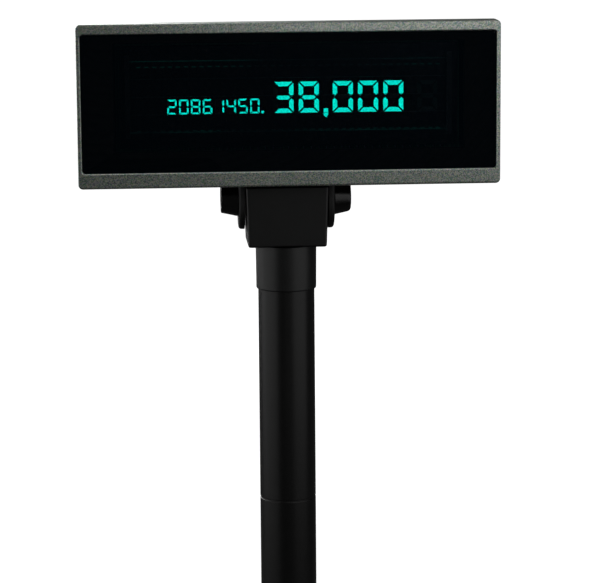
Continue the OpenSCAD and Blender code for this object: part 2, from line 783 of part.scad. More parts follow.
// The neck: a tapered block with a round-topped hinge end, over a collar round the pole
pad_r = 8.5;
module neck() {
    foot = 1.3;
    tall = block_drop + neck_top_r + over;
    levels = [[tall, 0], [foot, 0], [0.4 * foot, 0.15 * foot], [0.1 * foot, 0.4 * foot], [0, 0.75 * foot]];
    color(MATTE) difference() {
        union() {
            intersection() {
                skin([for (s = levels)
                    let (cut = block_draft / 2 * (1 - s[0] / tall) + s[1])
                    [for (p = outline(-block_w / 2 + cut, block_w / 2 - cut,
                            -block_d / 2 + cut, block_d / 2 - cut, block_edge, 4))
                        [p[0], p[1], block_z + s[0]]]]);
                translate([-block_w, 0, pivot_z]) rotate([90, 0, 90])
                    linear_extrude(height = 2 * block_w) polygon(neck_profile());
            }
            rod_x(-pad_x, pad_x, pad_r);
            rotate_extrude($fn = 2 * fine) polygon([[0, collar_z], [collar_r - 0.5, collar_z],
                [collar_r - 0.15, collar_z + 0.15], [collar_r, collar_z + 0.6],
                [collar_r + 0.17, block_z + foot], [0, block_z + foot]]);
        }
        translate([0, 0, collar_z - over])
            cylinder(h = flange_top + 0.3 - collar_z + over, r = pole_r + slip, $fn = 2 * fine);
        translate([0, 0, flange_top])
            cylinder(h = floor_z - flange_top + over, r = post_or + slip, $fn = fine);
        difference() {
            translate([0, 0, flange_top])
                cylinder(h = key_t + 2 * stop_gap, r = key_out + stop_gap, $fn = fine);
            translate([0, 0, flange_top - over])
                cylinder(h = key_t + 2, r = key_in - stop_gap, $fn = fine);
            wedge(-90, key_angle, flange_top - over, flange_top + key_t + 1);
        }
        translate([0, 0, floor_z]) cylinder(h = tall, r = well_r, $fn = fine);
        rod_x(-pad_x - over, pad_x + over, insert_r + hair / 2);
    }
}

// The post in the tube's top that the neck turns on, bored for the cable
module swivel_post() {
    passage_r = passage_d / 2;
    bevel = 0.8;
    color(SATIN) {
        rotate_extrude($fn = fine) polygon([
            [passage_r, tube_top - spigot_l], [bore_r - hair - bevel, tube_top - spigot_l],
            [bore_r - hair, tube_top - spigot_l + bevel], [bore_r - hair, tube_top],
            [pole_r - slip, tube_top], [pole_r - slip, flange_top],
            [post_or, flange_top], [post_or, ring_z - hair],
            [groove_r, ring_z - hair], [groove_r, ring_z + ring_t + hair],
            [post_or, ring_z + ring_t + hair], [post_or, post_top - bevel], [post_or - bevel, post_top],
            [passage_r, post_top]]);
        intersection() {
            difference() {
                translate([0, 0, flange_top - hair]) cylinder(h = key_t + hair, r = key_out, $fn = fine);
                translate([0, 0, flange_top - over]) cylinder(h = key_t + 2 * over, r = key_in, $fn = fine);
            }
            wedge(90, key_angle, flange_top - over, flange_top + key_t + over);
        }
    }
}

// The wave washer that gives the swivel its friction
module wave_washer() {
    color(STEEL) translate([0, 0, floor_z]) difference() {
        cylinder(h = washer_t, r = ring_r, $fn = fine);
        translate([0, 0, -over]) cylinder(h = washer_t + 2 * over, r = post_or + slip, $fn = fine);
    }
}

// The open ring in the post's groove that keeps the neck down
module retaining_ring() {
    mouth = 5;
    color(STEEL) translate([0, 0, ring_z]) difference() {
        cylinder(h = ring_t, r = ring_r, $fn = fine);
        translate([0, 0, -over]) cylinder(h = ring_t + 2 * over, r = groove_r + hair, $fn = fine);
        translate([0, -mouth / 2, -over]) cube([2 * well_r, mouth, ring_t + 2 * over]);
    }
}

// A tube of the pole with bevelled ends
module pole_tube(low, high) {
    bevel = 0.3;
    rotate_extrude($fn = 2 * fine) polygon([[bore_r, low], [pole_r - bevel, low], [pole_r, low + bevel],
        [pole_r, high - bevel], [pole_r - bevel, high], [bore_r, high]]);
}
module upper_tube() {
    color(SATIN) pole_tube(seam_z + joint_line / 2, tube_top);
}

// The lower tube, with a window for the cable inside the base
module lower_tube() {
    cable_w = 10;
    cable_h = 5;
    color(SATIN) difference() {
        pole_tube(plate_top, seam_z - joint_line / 2);
        translate([-cable_w / 2, 0, plate_top + plug_t + over]) cube([cable_w, pole_d, cable_h]);
    }
}

// The sleeve inside the joint, whose thin rim shows as the dark line between the tubes
module tube_coupler() {
    sleeve_r = bore_r - hair;
    sleeve_t = 1.5;
    rim_r = pole_r - 0.4;
    half = joint_line / 2;
    color(GLOSS) translate([0, 0, seam_z]) rotate_extrude($fn = 2 * fine) polygon([
        [sleeve_r - sleeve_t, -coupler_l / 2], [sleeve_r, -coupler_l / 2], [sleeve_r, -half],
        [rim_r, -half], [rim_r, half], [sleeve_r, half], [sleeve_r, coupler_l / 2],
        [sleeve_r - sleeve_t, coupler_l / 2]]);
}

// Places of the three screws that pull the pole down on the ballast plate
module at_pole_screws() {
    for (a = [90:120:330]) rotate(a) translate([pole_screw_pcd / 2, 0, 0]) children();
}

// The plug in the lower tube's foot that the pole screws bite into
module end_plug() {
    plug_bore_r = 4;
    color(GLOSS) difference() {
        translate([0, 0, plate_top]) cylinder(h = plug_t, r = bore_r - hair, $fn = fine);
        translate([0, 0, plate_top - over]) cylinder(h = plug_t + 2 * over, r = plug_bore_r, $fn = fine);
        at_pole_screws() translate([0, 0, plate_top - over])
            cylinder(h = plug_t + 2 * over, r = m4_r + hair / 2, $fn = 32);
    }
}

// Screw up from under the plate, with a flat round head
module screw_up(r, head_r, length) {
    head_t = 2;
    translate([0, 0, plate_z - head_t]) cylinder(h = head_t, r = head_r, $fn = 32);
    translate([0, 0, plate_z - hair]) cylinder(h = length + hair, r = r, $fn = 32);
}
module pole_screws() {
    color(STEEL) at_pole_screws() screw_up(m4_r, 3.6, plate_t + plug_t - 1);
}

// Places of the screws that hold the base cover on the plate
module at_base_screws() {
    for (sx = [-1, 1], sy = [-1, 1]) translate([sx * base_screw_x, sy * base_screw_y, 0]) children();
}
module base_screws() {
    color(STEEL) at_base_screws() screw_up(m3_r, m3_head_r, plate_t + boss_bite - 1);
}

// Skin of the base cover, its walls moved in by the given amount: nearly upright sides, a soft
// shoulder all round and a flat top
module base_skin(inset) {
    shoulder_w = 15;
    shoulder_h = 11;
    flare = 0.8;
    low = rim_z - (inset > 0 ? over : 0);
    levels = concat(
        [for (a = [0:10:90]) [base_h - inset - shoulder_h * (1 - cos(a)), shoulder_w * (1 - sin(a))]],
        [[low + 0.8, -flare], [low, -flare + (inset > 0 ? 0 : 0.5)]]);
    skin([for (s = levels)
        [for (p = outline(-base_w / 2 + flare + inset + s[1], base_w / 2 - flare - inset - s[1],
                -base_d / 2 + flare + inset + s[1], base_d / 2 - flare - inset - s[1],
                max(base_corner - inset - 0.5 * max(s[1], 0), 4), 8))
            [p[0], p[1], s[0]]]]);
}

// The base cover: a hollow moulding with a filleted socket for the pole
module base_cover() {
    fillet = 8;
    socket_r = pole_r + 3.4;
    hole_r = pole_r + slip;
    color(MATTE) difference() {
        union() {
            difference() {
                base_skin(0);
                base_skin(base_wall);
            }
            rotate_extrude($fn = 2 * fine) polygon(concat(
                [[hole_r - over, base_h - base_wall], [socket_r + fillet, base_h - base_wall]],
                [for (a = [270:-15:180])
                    [socket_r + fillet + fillet * cos(a), base_h + fillet + fillet * sin(a)]],
                [[socket_r - 0.5, socket_top - 1], [socket_r - 0.9, socket_top - 0.3],
                    [socket_r - 1.6, socket_top], [hole_r - over, socket_top]]));
            at_base_screws() translate([0, 0, plate_top])
                cylinder(h = base_h - base_wall - plate_top + over, r = boss_r, $fn = 32);
        }
        translate([0, 0, rim_z]) cylinder(h = socket_top, r = hole_r, $fn = 2 * fine);
        at_base_screws() translate([0, 0, plate_top - over])
            cylinder(h = boss_bite + over, r = m3_r + hair / 2, $fn = 32);
        translate([-notch_w / 2, base_d / 2 - base_wall - 3, rim_z - over])
            cube([notch_w, base_wall + 6, notch_h + over]);
    }
}

// The steel ballast plate, drilled for the pole, the cover and the counter
module ballast_plate() {
    gap = base_wall + 1.2;
    corner = base_corner - gap;
    notch_gap = 2;
    notch_in = 14;
    half_x = base_w / 2 - gap;
    half_y = base_d / 2 - gap;
    color(STEEL) difference() {
        translate([0, 0, plate_z]) linear_extrude(height = plate_t) union() {
            square([2 * half_x, 2 * (half_y - corner)], center = true);
            square([2 * (half_x - corner), 2 * half_y], center = true);
            for (sx = [-1, 1], sy = [-1, 1])
                translate([sx * (half_x - corner), sy * (half_y - corner)]) circle(r = corner, $fn = 48);
        }
        translate([0, 0, plate_z - over]) {
            at_pole_screws() cylinder(h = plate_t + 2 * over, r = m4_r + slip, $fn = 32);
            at_base_screws() cylinder(h = plate_t + 2 * over, r = m3_r + slip, $fn = 32);
            for (sx = [-1, 1], sy = [-1, 1]) translate([sx * fixing_pitch / 2, sy * fixing_pitch / 2, 0])
                cylinder(h = plate_t + 2 * over, r = fixing_d / 2, $fn = 32);
            translate([-notch_w / 2 - notch_gap, half_y - notch_in, 0])
                cube([notch_w + 2 * notch_gap, notch_in + 1, plate_t + 2 * over]);
        }
    }
}

// The four rubber feet under the plate
module rubber_feet() {
    color(RUBBER) for (sx = [-1, 1], sy = [-1, 1]) translate([sx * foot_x, sy * foot_y, 0])
        rotate_extrude($fn = 48) polygon([[0, 0], [foot_d / 2 - 1.4, 0], [foot_d / 2 - 0.6, 0.4],
            [foot_d / 2, foot_h], [0, foot_h]]);
}

front_bezel();
window();
window_tape();
large_digits();
small_characters();
unlit_segments();
cover_glass();
base_glass();
filaments();
filament_supports();
display_pins();
display_board();
driver_chips();
converter_coil();
capacitors();
cable_header();
board_screws();
rear_cover();
cover_screws();
left_knob();
left_knob_screw();
right_knob();
right_knob_screw();
friction_washers();
neck();
knob_inserts();
swivel_post();
wave_washer();
retaining_ring();
upper_tube();
tube_coupler();
lower_tube();
end_plug();
pole_screws();
base_cover();
ballast_plate();
base_screws();
rubber_feet();
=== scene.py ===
"""Looks of a customer pole display: a wide lit readout on a tilting hinge, over a pole and a base.

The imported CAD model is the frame. Lengths in the working code are millimetres, and a mesh is
written in metres at the very end. +Z is up and the readout faces -Y.
"""

import math
from types import SimpleNamespace

import bmesh
import bpy
import numpy as np
from bpy.props import FloatProperty, FloatVectorProperty, PointerProperty
from mathutils import Matrix, Vector


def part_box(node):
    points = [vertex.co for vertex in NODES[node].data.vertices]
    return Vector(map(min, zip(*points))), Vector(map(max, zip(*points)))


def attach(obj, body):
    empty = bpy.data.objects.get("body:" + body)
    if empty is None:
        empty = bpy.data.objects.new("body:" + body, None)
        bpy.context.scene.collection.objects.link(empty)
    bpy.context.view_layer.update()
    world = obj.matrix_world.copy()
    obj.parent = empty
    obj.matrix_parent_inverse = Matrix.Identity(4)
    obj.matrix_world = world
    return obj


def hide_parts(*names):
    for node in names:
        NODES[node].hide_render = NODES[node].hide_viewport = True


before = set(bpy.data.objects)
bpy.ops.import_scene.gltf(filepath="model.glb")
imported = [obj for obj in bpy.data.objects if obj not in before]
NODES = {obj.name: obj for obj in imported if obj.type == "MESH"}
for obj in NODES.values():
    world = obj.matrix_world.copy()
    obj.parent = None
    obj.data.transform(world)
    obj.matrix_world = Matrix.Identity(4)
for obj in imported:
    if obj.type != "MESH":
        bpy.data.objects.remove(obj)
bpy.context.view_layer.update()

bl_info = {
    "name": "Pole Display",
    "version": (1, 0, 0),
    "blender": (4, 5, 0),
    "location": "View3D > Sidebar > Pole Display",
    "description": "Builds the looks of a customer pole display around its CAD frame",
    "category": "Add Mesh",
}

MM = 0.001


def linear(code):
    """Linear red, green and blue of an sRGB hex colour such as 1d5a3a."""
    value = np.array([int(code[i:i + 2], 16) for i in (0, 2, 4)]) / 255
    return tuple(np.where(value <= 0.04045, value / 12.92, ((value + 0.055) / 1.055) ** 2.4))


def length(name, description, size):
    """Property for a length, given in millimetres and kept in metres."""
    return FloatProperty(name=name, description=description, default=size * MM, min=0,
                         precision=5, subtype="DISTANCE", unit="LENGTH")


def tint(name, description, code):
    """Property for a colour, given as sRGB hex."""
    return FloatVectorProperty(name=name, description=description, default=linear(code),
                               size=3, min=0, max=1, subtype="COLOR")


def corners(node):
    """Lowest and highest corner of a CAD node, in millimetres."""
    low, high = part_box(node)
    return np.array(low) / MM, np.array(high) / MM


BEZEL_LOW, BEZEL_HIGH = corners("front_bezel")
WINDOW_LOW, WINDOW_HIGH = corners("window")
GLASS_LOW, GLASS_HIGH = corners("cover_glass")
NECK_LOW, NECK_HIGH = corners("neck")
STUD_LOW, STUD_HIGH = corners("left_knob_screw")
PIVOT_Z = (STUD_LOW[2] + STUD_HIGH[2]) / 2

# How far the head tilts down and up, in degrees
TILT_DOWN, TILT_UP = 12, 30

# A clamp knob: how many flats it has, how many degrees the middle of the first one stands from
# the top, the share of the radius that a rounded corner keeps, and the share that the crown adds
# in the middle of a flat
KNOB_FLATS = 10
KNOB_TURN = 13
KNOB_CORNER = 0.985
KNOB_CROWN = 0.02

# The soft lights: name, degrees round from the front and up from the level, metres from the
# point that they aim at, width and height in metres, and radiance
LIGHTS = (
    ("left_box", -82, 9, 1.5, 2.8, 1.6, 0.7),
    ("right_box", 52, 18, 0.75, 1.0, 1.25, 0.58),
    ("key_box", 14, 11, 0.5, 0.24, 0.1, 1.55),
    ("front_box", 3, -20, 0.6, 0.3, 0.2, 0.08),
    ("top_box", 20, 78, 1.3, 0.9, 0.7, 0.75),
    ("rear_box", -152, 18, 1.6, 1.6, 1.4, 2.6),
)
LIGHTS_AIM = (0, 0, 0.36)
WORLD_LIGHT = 0.04

# The camera at the photograph's angle: its place in metres, its turn to the right, its tilt down
# and its roll in degrees, and its focal length and film width in millimetres
CAMERA_PLACE = (-0.0866, -1.4019, 0.5151)
CAMERA_TURNS = (3.99, 9.78, 0.417)
CAMERA_LENS = 154.6
CAMERA_FILM = 36


class DisplaySizes(bpy.types.PropertyGroup):
    """Sizes of the details that the surfaces add to the frame."""

    bezel_corner: length("Bezel corner", "Radius of the bezel's corners", 2.4)
    bezel_edge: length("Bezel edge", "Rounding along the bezel's front edge", 1.4)
    lip: length("Lip", "Width of the bevelled lip round the window", 0.5)
    wall: length("Wall", "Wall of the bezel", 2.0)
    window_corner: length("Window corner", "Radius of the window's corners", 1.55)
    window_edge: length("Window edge", "Polished rounding along the window's edge", 0.25)
    collar: length("Collar", "Radius of the neck's collar", 16.2)
    collar_height: length("Collar height", "Height of the collar below the block", 24.2)
    collar_bore: length("Collar bore", "Radius of the collar's bore round the tube", 15.4)
    shelf: length("Shelf", "Height of the bore's shelf above the collar's lower end", 8.3)
    post_bore: length("Post bore", "Radius of the bore round the swivel post", 10.7)
    block_edge: length("Block edge", "Rounding of the neck block's upright edges", 1.2)
    block_foot: length("Block foot", "Rounding under the neck block", 1.3)
    block_top: length("Block top", "Rounding along the neck block's top", 0.6)
    block_draft: length("Block draft", "Narrowing of each side of the block towards its foot", 1.0)
    tilt_gap: length("Tilt gap", "Clearance between the neck's top and the head", 0.5)
    well: length("Well", "Radius of the cable well in the neck", 13.0)
    well_floor: length("Well floor", "Height of the well's floor above the collar", 4.0)
    knob_root: length("Knob root", "Radius of a knob over its corners, at the ear", 10.4)
    knob_tip: length("Knob tip", "Radius of a knob over its corners, at its end", 8.4)
    knob_dish: length("Knob dish", "Radius of the shallow dish in a knob's end", 5.8)
    bore: length("Bore", "Radius of the bore of the pole's tubes", 13.2)
    tube_edge: length("Tube edge", "Rounding at the tubes' ends", 0.45)
    foot: length("Foot", "Radius of a rubber foot", 8.0)


class DisplayColours(bpy.types.PropertyGroup):
    """Colours of the finishes."""

    flake: tint("Flake paint", "Ground colour of the bezel's metallic paint", "a6afa7")
    smoke: tint("Smoked acrylic", "Colour of the window", "020c14")
    lit: tint("Lit phosphor", "Colour of a lit segment", "00e8d2")
    moulding: tint("Textured moulding", "Colour of the textured plastic", "0b0c0c")
    satin: tint("Satin tube", "Colour of the pole's tubes", "0a0a0a")
    gloss: tint("Smooth moulding", "Colour of the knobs", "080809")
    board: tint("Solder mask", "Colour of the board", "1d5a3a")
    rubber: tint("Rubber", "Colour of the feet", "1b1b1b")


def sizes():
    """All lengths of the scene's sizes, in millimetres."""
    group = bpy.context.scene.pole_display_sizes
    return SimpleNamespace(**{key: getattr(group, key) / MM for key in group.__annotations__})


def colours():
    """The scene's colours."""
    return bpy.context.scene.pole_display_colours


# Outlines and profiles

def rounded_rectangle(half, low, high, radius, side=5, corner=8):
    """Counter-clockwise outline: a quarter circle about each corner's centre, then even points
    along the straight to the next quarter circle. The last two numbers are the points on a
    straight and the steps of a quarter circle."""
    angle = np.linspace(0, math.pi / 2, corner + 1)
    quarter = radius * np.stack([np.cos(angle), np.sin(angle)], 1)
    turns = np.array([[[1, 0], [0, 1]], [[0, -1], [1, 0]], [[-1, 0], [0, -1]], [[0, 1], [-1, 0]]])
    right, top, bottom = half - radius, high - radius, low + radius
    centres = np.array([[right, top], [-right, top], [-right, bottom], [right, bottom]])
    arcs = centres[:, None] + np.einsum("cij,kj->cki", turns, quarter)
    share = (np.arange(1, side + 1) / (side + 1))[None, :, None]
    straights = arcs[:, -1:] * (1 - share) + np.roll(arcs[:, :1], -1, axis=0) * share
    return np.concatenate([arcs, straights], 1).reshape(-1, 2)


def filleted(rows, steps=5, closed=True):
    """Profile whose corners are replaced by quadratic curves. Each row holds a corner's
    coordinates and last its reach: the curve starts and ends that far before and after the
    corner, along the coordinate that changes most. An open profile keeps its two ends."""
    rows = np.array(rows, float)
    points, reach = rows[:, :-1], rows[:, -1:]
    before = np.roll(points, 1, axis=0) - points
    after = np.roll(points, -1, axis=0) - points
    start = points + before / np.abs(before).max(1, keepdims=True) * reach
    end = points + after / np.abs(after).max(1, keepdims=True) * reach
    t = np.linspace(0, 1, steps + 1)[None, :, None]
    curve = (1 - t) ** 2 * start[:, None] + 2 * t * (1 - t) * points[:, None] + t ** 2 * end[:, None]
    if closed:
        return curve.reshape(-1, points.shape[1])
    inner = curve[1:-1].reshape(-1, points.shape[1])
    return np.concatenate([points[:1], inner, points[-1:]])


def head_outline(low, high, corner, beside=0, above=0):
    """Half width, lower edge, upper edge and corner radius of a box in the head, after it has
    grown by one length at each side and another at its top and bottom. Heights count from the
    bezel's lower edge."""
    base = BEZEL_LOW[2]
    return [high[0] + beside, low[2] - base - above, high[2] - base + above, corner]


def head_rings(profile):
    """Stack of rounded rectangles in the head's upright planes. Each row of the profile gives
    an outline and its depth."""
    rings = [rounded_rectangle(*row[:4]) for row in profile]
    return np.stack([np.stack([ring[:, 0], np.full(len(ring), row[4]), BEZEL_LOW[2] + ring[:, 1]], 1)
                     for ring, row in zip(rings, profile)])


def turned(profile, segments=96, centre=(0, 0)):
    """Surface of revolution about an upright axis: each (radius, height) row becomes a circle."""
    angle = np.linspace(0, 2 * math.pi, segments, endpoint=False)
    ring = np.stack([np.cos(angle), np.sin(angle), np.zeros(segments)], 1)
    rings = profile[:, :1, None] * ring[None]
    rings[:, :, 2] = profile[:, 1:2]
    return rings + np.array([*centre, 0])


# Meshes and pieces

def surface(name, stacks, closed=False, crease=35):
    """One mesh over one or more stacks of rings: each ring joins the next by quads, and the last
    joins the first if the stack is closed, or else both ends get a flat cap. The faces are
    turned round if the volume that they enclose comes out negative."""
    points, faces = [], []
    count = 0
    for rings in stacks:
        levels, around = rings.shape[:2]
        grid = count + np.arange(levels * around).reshape(levels, around)
        rows = np.vstack([grid, grid[:1]]) if closed else grid
        lower, upper = rows[:-1], rows[1:]
        quads = np.stack([lower, np.roll(lower, -1, 1), np.roll(upper, -1, 1), upper], -1)
        faces += quads.reshape(-1, 4).tolist()
        if not closed:
            faces += [grid[0][::-1].tolist(), grid[-1].tolist()]
        points.append(rings.reshape(-1, 3))
        count += levels * around
    mesh = bpy.data.meshes.new(name)
    mesh.from_pydata(np.concatenate(points) * MM, [], faces)
    mesh.validate()
    if enclosed_volume(mesh) < 0:
        mesh.flip_normals()
    return finished_piece(name, mesh, crease)


def enclosed_volume(mesh):
    """Volume inside a mesh: the sum over its triangles of the box product of the three corners,
    divided by six."""
    mesh.calc_loop_triangles()
    triangles = np.empty(len(mesh.loop_triangles) * 3, np.int32)
    mesh.loop_triangles.foreach_get("vertices", triangles)
    places = np.empty(len(mesh.vertices) * 3)
    mesh.vertices.foreach_get("co", places)
    corner = places.reshape(-1, 3)[triangles].reshape(-1, 3, 3)
    return np.einsum("ij,ij->i", corner[:, 0], np.cross(corner[:, 1], corner[:, 2])).sum() / 6


def finished_piece(name, mesh, crease, bevel=0):
    """Object for a mesh that is smooth except at edges sharper than the crease angle. A bevel
    rounds the sharp edges by its width. Large faces then decide the shading at their edges, so
    that a flat beside a narrow rounding stays flat."""
    mesh.shade_smooth()
    mesh.set_sharp_from_angle(angle=math.radians(crease))
    piece = bpy.data.objects.new(name, mesh)
    bpy.context.scene.collection.objects.link(piece)
    if bevel:
        # Edges just over the crease angle stay as they are
        edge = piece.modifiers.new("Edge", "BEVEL")
        edge.width = bevel * MM
        edge.segments = 2
        edge.limit_method = "ANGLE"
        edge.angle_limit = math.radians(crease + 5)
        edge.use_clamp_overlap = True
    level = piece.modifiers.new("Level", "WEIGHTED_NORMAL")
    level.keep_sharp = True
    return piece


def softened_copy(name, node, bevel, crease=30):
    """Copy of a CAD node with its loose triangles merged, flat areas made one face each, and
    its edges bevelled by the given width."""
    weld, flatness = 0.002 * MM, math.radians(0.5)
    mesh = NODES[node].data.copy()
    work = bmesh.new()
    work.from_mesh(mesh)
    bmesh.ops.remove_doubles(work, verts=work.verts, dist=weld)
    bmesh.ops.dissolve_limit(work, angle_limit=flatness, verts=work.verts, edges=work.edges)
    work.to_mesh(mesh)
    work.free()
    mesh.materials.clear()
    return finished_piece(name, mesh, crease, bevel)


def place(piece, body, nodes, finish):
    """Gives a new piece its body, the CAD nodes that it stands for and its material."""
    piece.data.materials.append(finish)
    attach(piece, body)
    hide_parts(*nodes)


def dress(finish, *nodes):
    """Gives CAD nodes a material."""
    for node in nodes:
        mesh = NODES[node].data
        mesh.materials.clear()
        mesh.materials.append(finish)


# Materials

def add(tree, kind, values=None, links=None):
    """Adds a node. Values go to its sockets, by name or number, or to its settings. Links go
    from another node's output to its sockets."""
    node = tree.nodes.new(kind)
    for key, value in (values or {}).items():
        if isinstance(key, int) or key in node.inputs:
            node.inputs[key].default_value = value
        else:
            setattr(node, key, value)
    for key, source in (links or {}).items():
        tree.links.new(source, node.inputs[key])
    return node


def new_material(name, colour, roughness, values=None):
    """Material with one Principled shader, and values for more of that shader's sockets.
    Returns it with its tree, shader and object coordinates."""
    material = bpy.data.materials.new(name)
    material.use_nodes = True
    tree = material.node_tree
    shader = tree.nodes["Principled BSDF"]
    shader.inputs["Base Color"].default_value = (*colour, 1)
    shader.inputs["Roughness"].default_value = roughness
    for key, value in (values or {}).items():
        shader.inputs[key].default_value = value
    here = add(tree, "ShaderNodeTexCoord").outputs["Object"]
    return material, tree, shader, here


def lumps(size, detail=2):
    """Settings of a noise whose lumps are about the given size in millimetres."""
    return {"Scale": 1 / (size * MM), "Detail": detail, "Roughness": 0.55}


def set_shades(ramp, colour, dark, light):
    """Sets a colour ramp's two stops to a darker and a lighter shade, as shares of a colour."""
    for stop, where, share in zip(ramp.color_ramp.elements, (0.3, 0.7), (dark, light)):
        stop.position = where
        stop.color = (*(min(c * share, 1) for c in colour), 1)


def mottle(tree, shader, here, colour, size, dark, light, detail=2):
    """Lets a shader's colour drift between a darker and a lighter shade, in patches of about
    the given size in millimetres."""
    patches = add(tree, "ShaderNodeTexNoise", lumps(size, detail), {"Vector": here})
    shade = add(tree, "ShaderNodeValToRGB", None, {"Fac": patches.outputs["Fac"]})
    set_shades(shade, colour, dark, light)
    tree.links.new(shade.outputs["Color"], shader.inputs["Base Color"])


def roughen(tree, shader, pattern, between, height, strength, depth):
    """Lets a shader's roughness go between two values with a pattern, and raises its surface
    with a height, which may be the same pattern, by the given depth in millimetres."""
    low, high = between
    rough = add(tree, "ShaderNodeMapRange", {"To Min": low, "To Max": high}, {"Value": pattern})
    raised = add(tree, "ShaderNodeBump", {"Strength": strength, "Distance": depth * MM}, {"Height": height})
    tree.links.new(rough.outputs["Result"], shader.inputs["Roughness"])
    tree.links.new(raised.outputs["Normal"], shader.inputs["Normal"])


def glow_by(tree, shader, colour, strength):
    """Makes a shader give off a colour, as strongly as an output says."""
    shader.inputs["Emission Color"].default_value = (*colour, 1)
    tree.links.new(strength, shader.inputs["Emission Strength"])


def metallic_flake_paint(colour):
    """Sprayed metallic paint over ABS: a soft metallic sparkle, because its aluminium flakes of
    about 0.05 mm each tilt a little. They are drawn 0.4 mm wide, the least that shows, and vary
    in brightness and hue."""
    material, tree, shader, here = new_material("metallic_flake_paint", colour, 0.34, {"Metallic": 0.9})
    flakes = add(tree, "ShaderNodeTexVoronoi", {"Scale": 1 / (0.4 * MM)}, {"Vector": here}).outputs["Color"]
    chance = add(tree, "ShaderNodeSeparateColor", None, {"Color": flakes})
    tone = add(tree, "ShaderNodeValToRGB", None, {"Fac": chance.outputs["Red"]})
    set_shades(tone, colour, dark=0.68, light=1.38)
    # The colours of this node are its inputs 6 and 7 and its output 2
    hue = add(tree, "ShaderNodeMix", {"data_type": "RGBA", "blend_type": "SOFT_LIGHT", 0: 0.45},
              {6: tone.outputs["Color"], 7: flakes})
    tree.links.new(hue.outputs[2], shader.inputs["Base Color"])
    peel = add(tree, "ShaderNodeTexNoise", lumps(0.5), {"Vector": here})
    roughen(tree, shader, chance.outputs["Green"], (0.29, 0.39), peel.outputs["Fac"],
            strength=0.12, depth=0.03)
    return material


def smoked_acrylic(colour):
    """Cast smoked acrylic with a polished face and a thin anti-reflection layer: nearly black,
    a mirror only at a low angle, and the lit figures behind it come through."""
    return new_material("smoked_acrylic", colour, 0.05, {"Alpha": 0.5, "Specular IOR Level": 0.12})[0]


def textured_abs(colour, name="textured_abs", roughness=0.55, relief=0.5):
    """ABS moulded in a spark-eroded tool: matte, with an even grain. The grain of about 0.2 mm
    is drawn 0.45 mm wide, so that it shows."""
    material, tree, shader, here = new_material(name, colour, roughness)
    mottle(tree, shader, here, colour, size=7, dark=0.8, light=1.25)
    grain = add(tree, "ShaderNodeTexNoise", lumps(0.45, 3), {"Vector": here}).outputs["Fac"]
    roughen(tree, shader, grain, (roughness - 0.07, roughness + 0.09), grain, strength=relief, depth=0.04)
    return material


def satin_tube(colour):
    """Extruded tube with a satin skin: a soft streak of light along it, broken by faint lines
    from the die, which are drawn 0.4 mm wide so that they show, and by a fine orange peel."""
    material, tree, shader, here = new_material("satin_tube", colour, 0.32, {"Specular IOR Level": 0.4})
    mottle(tree, shader, here, colour, size=5, dark=0.8, light=1.3, detail=4)
    drawn_out = add(tree, "ShaderNodeMapping", {"Scale": (1, 1, 1 / 60)}, {"Vector": here})
    lines = add(tree, "ShaderNodeTexNoise", lumps(0.4, 1), {"Vector": drawn_out.outputs["Vector"]})
    peel = add(tree, "ShaderNodeTexNoise", lumps(0.8, 3), {"Vector": here}).outputs["Fac"]
    both = add(tree, "ShaderNodeMath", {"operation": "ADD"}, {0: lines.outputs["Fac"], 1: peel})
    roughen(tree, shader, peel, (0.27, 0.39), both.outputs["Value"], strength=0.2, depth=0.02)
    return material


def smooth_abs(colour):
    """ABS moulded in a polished tool: a clean gloss with a faint flow ripple of about 3 mm."""
    material, tree, shader, here = new_material("smooth_abs", colour, 0.2)
    haze = add(tree, "ShaderNodeTexNoise", lumps(2), {"Vector": here})
    ripple = add(tree, "ShaderNodeTexNoise", lumps(3), {"Vector": here})
    roughen(tree, shader, haze.outputs["Fac"], (0.16, 0.26), ripple.outputs["Fac"],
            strength=0.15, depth=0.03)
    return material


def lit_phosphor(colour, glow):
    """Printed phosphor behind a wire grid: a lit segment glows evenly, and the wires dim it in
    faint bands. The wires stand 0.5 mm apart, too fine to show, so they are drawn 3.14 mm apart."""
    material, tree, shader, here = new_material("lit_phosphor", linear("27453f"), 0.7)
    pitch = 3.14 * MM
    # A wave of scale 1 repeats each pi / 10
    wires = add(tree, "ShaderNodeTexWave", {"Scale": math.pi / (10 * pitch), "bands_direction": "X"},
                {"Vector": here})
    grain = add(tree, "ShaderNodeTexNoise", lumps(0.3), {"Vector": here})
    past_wires = add(tree, "ShaderNodeMapRange", {"To Min": 0.94 * glow, "To Max": glow},
                     {"Value": wires.outputs["Fac"]})
    evenness = add(tree, "ShaderNodeMapRange", {"To Min": 0.9, "To Max": 1.08},
                   {"Value": grain.outputs["Fac"]})
    strength = add(tree, "ShaderNodeMath", {"operation": "MULTIPLY"},
                   {0: past_wires.outputs["Result"], 1: evenness.outputs["Result"]})
    glow_by(tree, shader, colour, strength.outputs["Value"])
    return material


